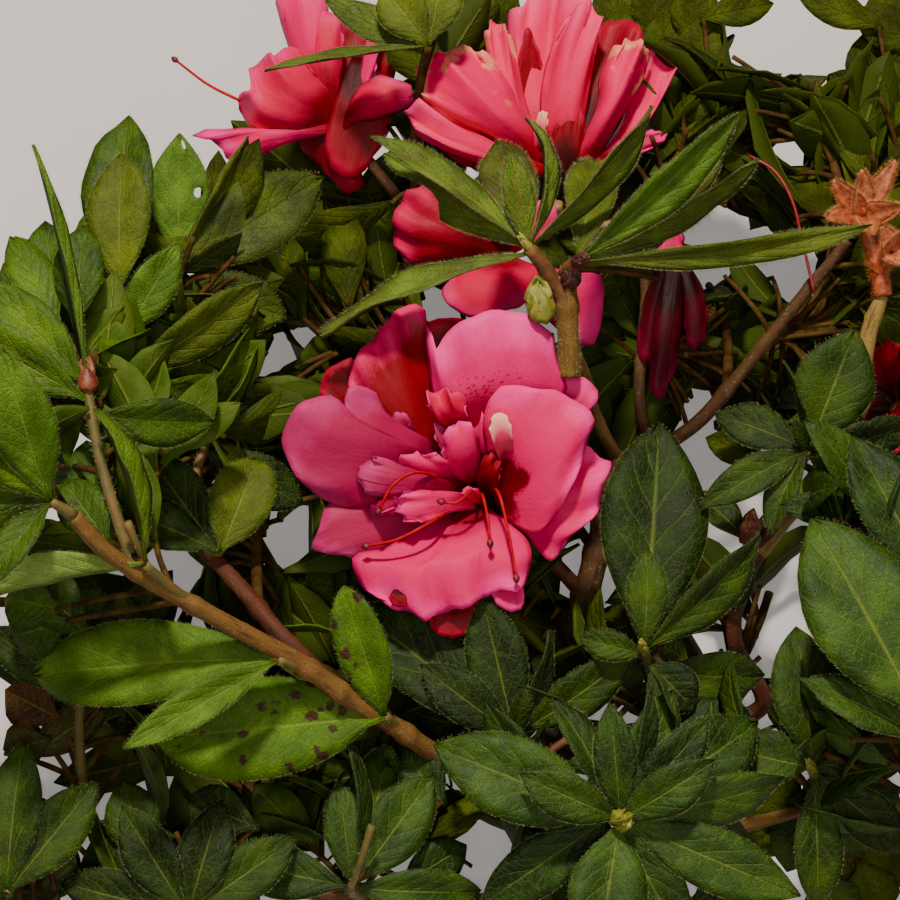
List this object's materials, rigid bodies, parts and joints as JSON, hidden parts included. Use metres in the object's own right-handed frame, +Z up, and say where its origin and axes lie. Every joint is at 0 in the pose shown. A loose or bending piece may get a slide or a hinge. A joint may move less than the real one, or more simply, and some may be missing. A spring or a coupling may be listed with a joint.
{
  "type": "cut flowering azalea bough",
  "caption": "Cut leafy azalea bough with double pink blooms, lying face up on level ground.",
  "frame": {"origin": "on the ground under the middle of the lying bough's outline", "axes": "+X across the bough's face to the right, +Y from the cut end towards the tips, +Z up"},
  "size_m": [0.265, 0.2374, 0.1392],
  "materials": {
    "bark": "thin tan to red-brown bark with fine hairs and leaf scars, pale wood at the cut",
    "leaf": "hairy evergreen leaf, satin mid to dark green, paler below",
    "petal": "soft thin petal, warm pink with red depths",
    "faded_petal": "wilted dark maroon petal",
    "spent_calyx": "hairy orange calyx of a spent flower"
  },
  "bodies": {
    "root": {"main_limb": "bark", "left_limb": "bark", "red_limb": "bark", "right_limb": "bark", "low_right_limb": "bark", "low_left_limb": "bark", "bloom_limb": "bark", "top_left_limb": "bark", "upper_right_limb": "bark", "back_limb": "bark", "spent_limb": "bark", "top_stub": "bark", "top_limb": "bark", "bloom_front": "petal", "bloom_top": "petal", "bloom_left": "petal", "bloom_behind": "petal", "bloom_right": "petal", "bloom_faded": "faded_petal", "spent_flower": "spent_calyx", "left_front": "leaf", "left_middle": "leaf", "limb_outer": "leaf", "limb_middle": "leaf", "limb_fork": "leaf", "left_under": "leaf", "centre": "leaf", "centre_right": "leaf", "bottom_front": "leaf", "top_left": "leaf", "top_right": "leaf", "right": "leaf", "bud_spur": "leaf", "right_front": "leaf", "right_side": "leaf", "right_low": "leaf", "low_middle": "leaf", "low_left": "leaf", "low_corner": "leaf", "left_edge": "leaf", "red_spur": "leaf", "upper_left": "leaf", "back_left": "leaf", "middle_left": "leaf", "top_leaf": "leaf", "back_top": "leaf", "back_corner": "leaf", "right_corner": "leaf", "back_right": "leaf", "back_middle": "leaf", "behind_bloom": "leaf", "behind_left": "leaf", "behind_centre": "leaf", "under_left": "leaf", "under_right": "leaf", "under_top_left": "leaf", "under_top_right": "leaf", "under_middle": "leaf"}
  },
  "joints": []
}
